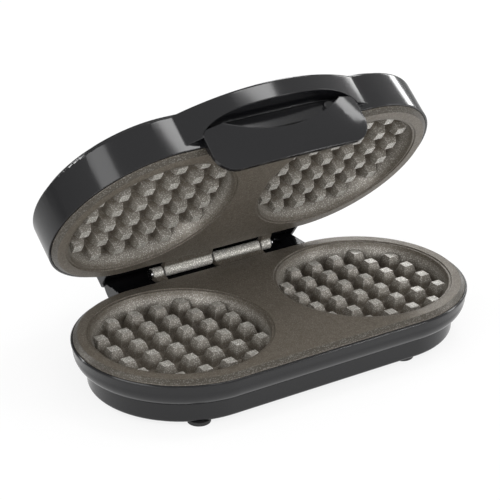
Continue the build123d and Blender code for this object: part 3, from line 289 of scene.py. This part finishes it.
def screw_tree():
    """Pan-head cross-recess screws, one on each point, with rolled threads down the shank."""
    tree = bpy.data.node_groups.new("pan_head_screws", "GeometryNodeTree")
    face = tree.interface
    face.new_socket("Points", in_out="INPUT", socket_type="NodeSocketGeometry")
    for name, kind in (("Head Radius", "Float"), ("Head Height", "Float"),
                       ("Shank Radius", "Float"), ("Length", "Float"), ("Pitch", "Float"),
                       ("Thread Depth", "Float"), ("Axis", "Vector"), ("Finish", "Material")):
        face.new_socket(name, in_out="INPUT", socket_type="NodeSocket" + kind)
    face.new_socket("Screws", in_out="OUTPUT", socket_type="NodeSocketGeometry")
    size = {socket.name: socket for socket in add_node(tree, "NodeGroupInput").outputs}
    spot = add_node(tree, "GeometryNodeInputPosition").outputs[0]
    x, y, z = add_node(tree, "ShaderNodeSeparateXYZ", {0: spot}).outputs
    flat = add_node(tree, "ShaderNodeCombineXYZ", {"X": x, "Y": y}).outputs[0]
    reach = add_node(tree, "ShaderNodeVectorMath", {"operation": "LENGTH", 0: flat})
    size.update({"x": x, "y": y, "z": z, "reach": reach.outputs["Value"]})
    # Each row is a sum of sizes above it. The head's top is domed, its cross recess is two blades
    # wide, and the shank's rings shift out and in along a helix, five to a turn of the thread.
    for name, operation, first, second in (
            ("share of head", "DIVIDE", "reach", "Head Radius"),
            ("dome curve", "POWER", "share of head", 3.0),
            ("dome height", "MULTIPLY", "dome curve", "Head Height"),
            ("top level", "MULTIPLY", "Head Height", 0.1),
            ("on top", "GREATER_THAN", "z", "top level"),
            ("dome share", "MULTIPLY", "on top", -0.45),
            ("dome", "MULTIPLY", "dome height", "dome share"),
            ("half head", "MULTIPLY", "Head Height", 0.5),
            ("head shift", "SUBTRACT", "dome", "half head"),
            ("blade length", "MULTIPLY", "Head Radius", 1.2),
            ("blade width", "MULTIPLY", "Head Radius", 0.26),
            ("blade depth", "MULTIPLY", "Head Height", 1.3),
            ("shank length", "SUBTRACT", "Length", "half head"),
            ("threads", "DIVIDE", "shank length", "Pitch"),
            ("rings", "MULTIPLY", "threads", 5.0),
            ("angle", "ARCTAN2", "y", "x"),
            ("share of turn", "DIVIDE", "angle", math.tau),
            ("level in pitches", "DIVIDE", "z", "Pitch"),
            ("helix", "ADD", "level in pitches", "share of turn"),
            ("thread flank", "PINGPONG", "helix", 0.5),
            ("thread share", "MULTIPLY", "thread flank", 2.0),
            ("thread cut", "MULTIPLY", "thread share", "Thread Depth"),
            ("share of shank", "DIVIDE", "thread cut", "Shank Radius"),
            ("inward share", "MULTIPLY", "share of shank", -1.0),
            ("head and length", "ADD", "Length", "half head"),
            ("shank level", "MULTIPLY", "head and length", -0.5)):
        size[name] = add_node(tree, "ShaderNodeMath", {
            "operation": operation,
            0: size.get(first, first), 1: size.get(second, second)}).outputs[0]
    head = add_node(tree, "GeometryNodeMeshCylinder", {
        "Vertices": 32, "Side Segments": 3, "Fill Segments": 5,
        "Radius": size["Head Radius"], "Depth": size["Head Height"]})
    # Head tops lie on the points, so the cylinder moves down by half its height.
    shift = add_node(tree, "ShaderNodeCombineXYZ", {"Z": size["head shift"]})
    domed = add_node(tree, "GeometryNodeSetPosition", {
        "Geometry": head.outputs["Mesh"], "Offset": shift.outputs[0]})
    cut = add_node(tree, "GeometryNodeMeshBoolean", {
        "operation": "DIFFERENCE", "Mesh 1": domed.outputs[0]})
    for along, across in (("blade length", "blade width"), ("blade width", "blade length")):
        sides = add_node(tree, "ShaderNodeCombineXYZ", {
            "X": size[along], "Y": size[across], "Z": size["blade depth"]})
        blade = add_node(tree, "GeometryNodeMeshCube", {"Size": sides.outputs[0]})
        tree.links.new(blade.outputs["Mesh"], cut.inputs["Mesh 2"])
    shank = add_node(tree, "GeometryNodeMeshCylinder", {
        "Vertices": 20, "fill_type": "TRIANGLE_FAN", "Radius": size["Shank Radius"],
        "Depth": size["shank length"], "Side Segments": size["rings"]})
    inward = add_node(tree, "ShaderNodeVectorMath", {
        "operation": "SCALE", 0: flat, "Scale": size["inward share"]})
    threaded = add_node(tree, "GeometryNodeSetPosition", {
        "Geometry": shank.outputs["Mesh"], "Offset": inward.outputs[0]})
    shift = add_node(tree, "ShaderNodeCombineXYZ", {"Z": size["shank level"]})
    hung = add_node(tree, "GeometryNodeTransform", {
        "Geometry": threaded.outputs[0], "Translation": shift.outputs[0]})
    whole = add_node(tree, "GeometryNodeJoinGeometry", {0: cut.outputs["Mesh"]})
    tree.links.new(hung.outputs[0], whole.inputs[0])
    aligned = add_node(tree, "FunctionNodeAlignRotationToVector", {
        "axis": "Z", "Vector": size["Axis"]})
    placed = add_node(tree, "GeometryNodeInstanceOnPoints", {
        "Points": size["Points"], "Instance": whole.outputs[0], "Rotation": aligned.outputs[0]})
    real = add_node(tree, "GeometryNodeRealizeInstances", {"Geometry": placed.outputs[0]})
    plated = add_node(tree, "GeometryNodeSetMaterial", {
        "Geometry": real.outputs[0], "Material": size["Finish"]})
    add_node(tree, "NodeGroupOutput", {"Screws": plated.outputs[0]})
    return tree


def islands(node):
    """Vertices of each separate solid of a CAD node."""
    welded = welded_copy(node)
    left = set(welded.verts)
    found = []
    for start in welded.verts:
        if start not in left:
            continue
        left.remove(start)
        group, waiting = [], [start]
        while waiting:
            vert = waiting.pop()
            group.append(vert.co.copy())
            near = {edge.other_vert(vert) for edge in vert.link_edges} & left
            left -= near
            waiting.extend(near)
        found.append(group)
    welded.free()
    return found


def screws_for(node, up, sizes, material):
    """Threaded screws in the places of a node's plain ones, heads towards up."""
    up = Vector(up).normalized()
    across = up.cross(Vector((1, 0, 0)) if abs(up.x) < 0.5 else Vector((0, 1, 0))).normalized()
    third = up.cross(across)
    tops, length = [], 0
    for solid in islands(node):
        wide, deep, tall = ((min(v.dot(a) for v in solid), max(v.dot(a) for v in solid))
                            for a in (across, third, up))
        mid = across * sum(wide) / 2 + third * sum(deep) / 2
        tops.append(mid + up * tall[1])
        length = max(length, tall[1] - tall[0])
    mesh = bpy.data.meshes.new(node + "_points")
    mesh.from_pydata(tops, [], [])
    piece = bpy.data.objects.new(node + "_points", mesh)
    bpy.context.collection.objects.link(piece)
    modifier = piece.modifiers.new("screws", "NODES")
    modifier.node_group = screw_group
    sockets = {item.name: item.identifier
               for item in screw_group.interface.items_tree if item.in_out == "INPUT"}
    for name, value in {**sizes, "Length": length, "Axis": up, "Finish": material}.items():
        modifier[sockets[name]] = value
    evaluated = piece.evaluated_get(bpy.context.evaluated_depsgraph_get())
    made = bpy.data.meshes.new_from_object(evaluated)
    piece.modifiers.remove(modifier)
    bpy.data.objects.remove(piece)
    made.name = node + "_turned"
    screw = bpy.data.objects.new(node + "_piece", made)
    bpy.context.collection.objects.link(screw)
    made.set_sharp_from_angle(angle=math.radians(35))
    stand_for(screw, node)


screw_group = screw_tree()
# Bright zinc scatters a little: a pale blue-grey mirror, dulled by its crystals.
bright_zinc = worked_metal("bright_zinc_plating", "9A9C9E", "C4C6C8", 0.3, 0.0006)
plastic_screw = {"Head Radius": 0.0035, "Head Height": 0.0022, "Shank Radius": 0.0019,
                 "Pitch": 0.0013, "Thread Depth": 0.0004}
screws_for("bottom_cover_screws", (0, 0, -1), plastic_screw, bright_zinc)


# Feet and grommet
# Pads pressed into the bottom cover, and the bush of the mains cord in the rear wall, all of
# them compression-moulded in matt black rubber.
def moulded_grain(name, dark, light, rough, grain, depth, ior):
    """Unpolished moulding or sheet with a fine grain, in metres, in its tint and its surface."""
    material, tree = new_material(name)
    place = add_node(tree, "ShaderNodeTexCoord").outputs["Object"]
    speck = add_node(tree, "ShaderNodeTexNoise", {
        "Scale": 1 / grain, "Detail": 3.0, "Vector": place}).outputs["Fac"]
    tint = add_node(tree, "ShaderNodeMix", {
        "data_type": "RGBA", 0: speck, 6: srgb(dark), 7: srgb(light)})
    bump = add_node(tree, "ShaderNodeBump", {"Strength": 0.25, "Distance": depth, "Height": speck})
    shader = add_node(tree, "ShaderNodeBsdfPrincipled", {
        "Roughness": rough, "IOR": ior, "Base Color": tint.outputs[2], "Normal": bump.outputs[0]})
    add_node(tree, "ShaderNodeOutputMaterial", {"Surface": shader.outputs[0]})
    return material


# Moulded rubber is nearly black and matt, and blooms a little grey.
rubber = moulded_grain("moulded_black_rubber", "161616", "262626", 0.62, 0.0011, 0.0002, 1.52)
small_edge = 0.0003
for node in ("foot_front_left", "foot_front_right", "foot_rear_left", "foot_rear_right",
             "cord_grommet"):
    stand_for(skin_of(node, rubber, small_edge), node)


# Cooking plates
# Two identical aluminium die castings under a dark non-stick coating. Metal flake in the coating is
# painted as pale flecks, which also stand in for its sparkle. The stud tips and flanks carry a
# painted highlight, which leaves the hollows between them darker as painted shade, and the
# knuckles are painted paler.
def nonstick_coating(name, outward, face_level):
    """Sprayed non-stick: warm dark grey and satin, with pale flakes; painted light on the studs and
    painted shade on the outer bevel.
    """
    material, tree = new_material(name)
    coordinates = add_node(tree, "ShaderNodeTexCoord").outputs
    place = coordinates["Object"]
    level, facing = (add_node(tree, "ShaderNodeVectorMath", {
        "operation": "DOT_PRODUCT", 0: socket, 1: outward}).outputs["Value"]
        for socket in (place, coordinates["Normal"]))
    # Flakes are about 0.05 mm, and drawn near 1 mm apart so that they show.
    flakes_per_metre = 1000.0
    flake = add_node(tree, "ShaderNodeTexVoronoi", {
        "Scale": flakes_per_metre, "Vector": place}).outputs["Distance"]
    # Each row climbs from 0 to 1 between two levels, or between two shares of facing outward.
    tips_below_face = 0.0055
    tip_level = face_level - tips_below_face
    mask = {}
    for part, value, low, high in (
            ("near tips", level, tip_level - 0.0012, tip_level - 0.0002),
            ("upright", facing, 0.9, 0.97),
            ("leaning out", facing, 0.3, 0.6),
            ("below rim", level, tip_level + 0.002, tip_level + 0.001),
            ("above studs", level, tip_level + 0.002, tip_level + 0.003),
            ("below knuckles", level, face_level + 0.001, face_level + 0.0005),
            ("knuckles", level, face_level + 0.0005, face_level + 0.001),
            ("over pan floor", level, tip_level - 0.006, tip_level + 0.001),
            ("under tips", level, tip_level + 0.003, tip_level - 0.006),
            ("in flake", flake, 0.42, 0.24)):
        mask[part] = add_node(tree, "ShaderNodeMapRange", {
            "From Min": low, "From Max": high, "Value": value}).outputs[0]
    for part, operation, first, second in (
            ("flat tops", "MULTIPLY", "near tips", "upright"),
            ("tips", "MULTIPLY", "flat tops", "below rim"),
            ("rim", "MULTIPLY", "above studs", "below knuckles"),
            ("slanted rim", "MULTIPLY", "rim", "leaning out"),
            ("not upright", "SUBTRACT", 1.0, "upright"),
            ("outer edges", "MULTIPLY", "slanted rim", "not upright"),
            ("flanks", "MULTIPLY", "over pan floor", "under tips"),
            ("studs", "MAXIMUM", "tips", "flanks"),
            ("lit_studs_and_knuckles", "MAXIMUM", "studs", "knuckles")):
        mask[part] = add_node(tree, "ShaderNodeMath", {
            "operation": operation,
            0: mask.get(first, first), 1: mask.get(second, second)}).outputs[0]
    mottles_per_metre = 350.0
    mottle = add_node(tree, "ShaderNodeTexNoise", {
        "Scale": mottles_per_metre, "Detail": 4.0, "Vector": place}).outputs["Fac"]
    tone = add_node(tree, "ShaderNodeMix", {
        "data_type": "RGBA", 0: mottle, 6: srgb("4D463C"), 7: srgb("726B61")})
    # Painted highlight: the stud tips and flanks are lightened, and the hollows between them stay
    # darker as painted shade. The knuckles take the same paler grey.
    lit_studs_and_knuckles = add_node(tree, "ShaderNodeMix", {
        "data_type": "RGBA", 0: mask["lit_studs_and_knuckles"], 6: tone.outputs[2], 7: srgb("A19E97")})
    # Painted shade: the slanted outer bevel of the rim is darkened, where the front lamps light it
    # strongly.
    bevel_shaded = add_node(tree, "ShaderNodeMix", {
        "data_type": "RGBA", 0: mask["outer edges"], 6: lit_studs_and_knuckles.outputs[2], 7: srgb("3F3A32")})
    # The flakes are drawn denser on the painted highlight of the studs and on the knuckles.
    amount = add_node(tree, "ShaderNodeMapRange", {
        "To Min": 0.12, "To Max": 1.0, "Value": mask["lit_studs_and_knuckles"]})
    spark = add_node(tree, "ShaderNodeMath", {
        "operation": "MULTIPLY", 0: mask["in flake"], 1: amount.outputs[0]})
    colour = add_node(tree, "ShaderNodeMix", {
        "data_type": "RGBA", 0: spark.outputs[0], 6: bevel_shaded.outputs[2], 7: srgb("F2F0EA")})
    edge = add_node(tree, "ShaderNodeBevel", {"samples": 6, "Radius": 0.001})
    bump = add_node(tree, "ShaderNodeBump", {
        "Strength": 0.5, "Distance": 0.0003, "Height": mottle, "Normal": edge.outputs[0]})
    shader = add_node(tree, "ShaderNodeBsdfPrincipled", {
        "Roughness": 0.38, "Metallic": 0.3,
        "Base Color": colour.outputs[2], "Normal": bump.outputs[0]})
    add_node(tree, "ShaderNodeOutputMaterial", {"Surface": shader.outputs[0]})
    return material


# Each face lies 1.1 mm short of the hinge axis when the lid is shut, and the lid stands open.
hinge = Vector((0, 0.0836, 0.0396))
short_of_hinge = 0.0011
open_angle = math.radians(53.2)
plate_edge = 0.0008
for side, outward in (("lower", Vector((0, 0, 1))),
                      ("upper", Vector((0, -math.sin(open_angle), -math.cos(open_angle))))):
    face_level = hinge.dot(outward) - short_of_hinge
    coating = nonstick_coating("sprayed_nonstick_" + side, outward, face_level)
    stand_for(skin_of(side + "_plate", coating, plate_edge), side + "_plate")


# Hinge pin and its clip
# Centreless-ground steel pin through all four knuckles of the plates, kept from sliding out by a
# clip pressed from spring steel.
def finish_of(node, material):
    """A CAD node that stays as it is takes a better finish."""
    for slot in frame["nodes"][node].material_slots:
        slot.material = material


# Grinding leaves fine rings round the pin and a bright, even grey.
ground_steel = worked_metal("ground_steel", "8E8E8E", "B4B4B4", 0.25, 0.0004, (1, 6, 6))
stand_for(skin_of("hinge_pin", ground_steel, small_edge), "hinge_pin")
# Tempering leaves the strip a darker blue-grey.
spring_steel = worked_metal("tempered_spring_steel", "55565A", "7C7D80", 0.38, 0.0008)
finish_of("hinge_pin_clip", spring_steel)

# Heating elements
# One steel tube under each plate, packed with magnesia round a coiled wire and bent to a loop.
# Heat dulls it to a mottled brown-grey.
heat_dulled = worked_metal("heat_dulled_steel_tube", "4A443D", "75706A", 0.5, 0.003)
for node in ("lower_heating_element", "upper_heating_element"):
    finish_of(node, heat_dulled)

# Element clips and their screws
# Spring-steel straps that press the element against the pans, each on one zinc-plated screw that
# forms its own thread in a boss of the plate.
lid_up = Vector((0, math.sin(open_angle), math.cos(open_angle)))
for side, under in (("lower", (0, 0, -1)), ("upper", lid_up)):
    finish_of(side + "_element_clips", spring_steel)
    screws_for(side + "_element_clip_screws", under, plastic_screw, bright_zinc)

# Reflectors and their screws
# Trays pressed from bright rolled aluminium sheet, screwed on behind the elements. Rolling draws
# their faint streaks out along the sheet.
rolled_sheet = worked_metal("rolled_aluminium_sheet", "BDBEC0", "DADBDC", 0.28, 0.0008,
                            (0.05, 1, 1))
for side, under in (("lower", (0, 0, -1)), ("upper", lid_up)):
    finish_of(side + "_reflector", rolled_sheet)
    screws_for(side + "_reflector_screws", under, plastic_screw, bright_zinc)

# Thermostat, thermal fuse and ground lug
# A snap-disc thermostat in a dark phenolic body, a fuse in an aluminium can under a strap, and a
# tinned ring terminal, each held to the plate by a small screw.
phenolic = moulded_grain("compression_moulded_phenolic", "1E1511", "35261E", 0.45, 0.0012, 0.0001,
                         1.6)
finish_of("thermostat", phenolic)
finish_of("thermal_fuse", rolled_sheet)
finish_of("fuse_clip", spring_steel)
# Hot-dipped tin is pale and slightly yellow over brass, with a soft shine.
tinned = worked_metal("tinned_brass", "A8A294", "C8C2B2", 0.32, 0.0007)
finish_of("ground_lug", tinned)
small_screw = {"Head Radius": 0.0022, "Head Height": 0.0014, "Shank Radius": 0.0012,
               "Pitch": 0.0008, "Thread Depth": 0.00025}
screws_for("small_screws", (0, 0, -1), small_screw, bright_zinc)

# Terminal block and leads
# Pressed steatite block, cream white and eggshell smooth, with clamping screws. The stranded
# wires run in matt white silicone-rubber sleeves.
steatite = moulded_grain("pressed_steatite", "D6D2C6", "ECE9E0", 0.35, 0.002, 0.0001, 1.55)
finish_of("terminal_block", steatite)
finish_of("terminal_screws", tinned)
sleeve = moulded_grain("extruded_silicone_sleeve", "C9C9C4", "E4E4E0", 0.5, 0.0009, 0.0001, 1.41)
for node in ("base_leads", "lid_leads"):
    finish_of(node, sleeve)

# Lid
# Wall, deck, front bulge and rear hump of the lid are one moulding, with the crowned cover
# snapped over its screws and the lift handle screwed on in front.
for node in ("lid_housing", "lid_top_cover", "handle"):
    stand_for(skin_of(node, black_abs, abs_edge), node)
handle_back = Vector((0, math.cos(open_angle), -math.sin(open_angle)))
screws_for("lid_screws", lid_up, plastic_screw, bright_zinc)
screws_for("handle_screws", handle_back, plastic_screw, bright_zinc)


# Lamps
# Two neon lamps on a board of brown paper laminate below the lid's cover, seen through a red and
# a green window of tinted acrylic.
def clear_body(name, code, rough, ior):
    """Clear or tinted glass or acrylic with a few faint flow streaks."""
    material, tree = new_material(name)
    place = add_node(tree, "ShaderNodeTexCoord").outputs["Object"]
    streaks_per_metre = 400.0
    flow = add_node(tree, "ShaderNodeTexNoise", {
        "Scale": streaks_per_metre, "Detail": 2.0, "Vector": place}).outputs["Fac"]
    spread = 0.06
    gloss = add_node(tree, "ShaderNodeMapRange", {
        "To Min": rough, "To Max": rough + spread, "Value": flow})
    bump = add_node(tree, "ShaderNodeBump", {"Strength": 0.1, "Distance": 0.0001, "Height": flow})
    shader = add_node(tree, "ShaderNodeBsdfPrincipled", {
        "Base Color": srgb(code), "IOR": ior, "Transmission Weight": 0.8,
        "Roughness": gloss.outputs[0], "Normal": bump.outputs[0]})
    add_node(tree, "ShaderNodeOutputMaterial", {"Surface": shader.outputs[0]})
    return material


laminate = moulded_grain("paper_laminate_board", "8A6B3C", "A98A55", 0.55, 0.0015, 0.0001, 1.55)
finish_of("lamp_board", laminate)
neon_glass = clear_body("drawn_lamp_glass", "F2DCC8", 0.03, 1.52)
for node, tinted, code in (("power", "tinted_red_acrylic", "C8211A"),
                           ("ready", "tinted_green_acrylic", "1F9A3C")):
    finish_of(node + "_lamp", neon_glass)
    lens = node + "_light_lens"
    stand_for(skin_of(lens, clear_body(tinted, code, 0.08, 1.49), small_edge), lens)
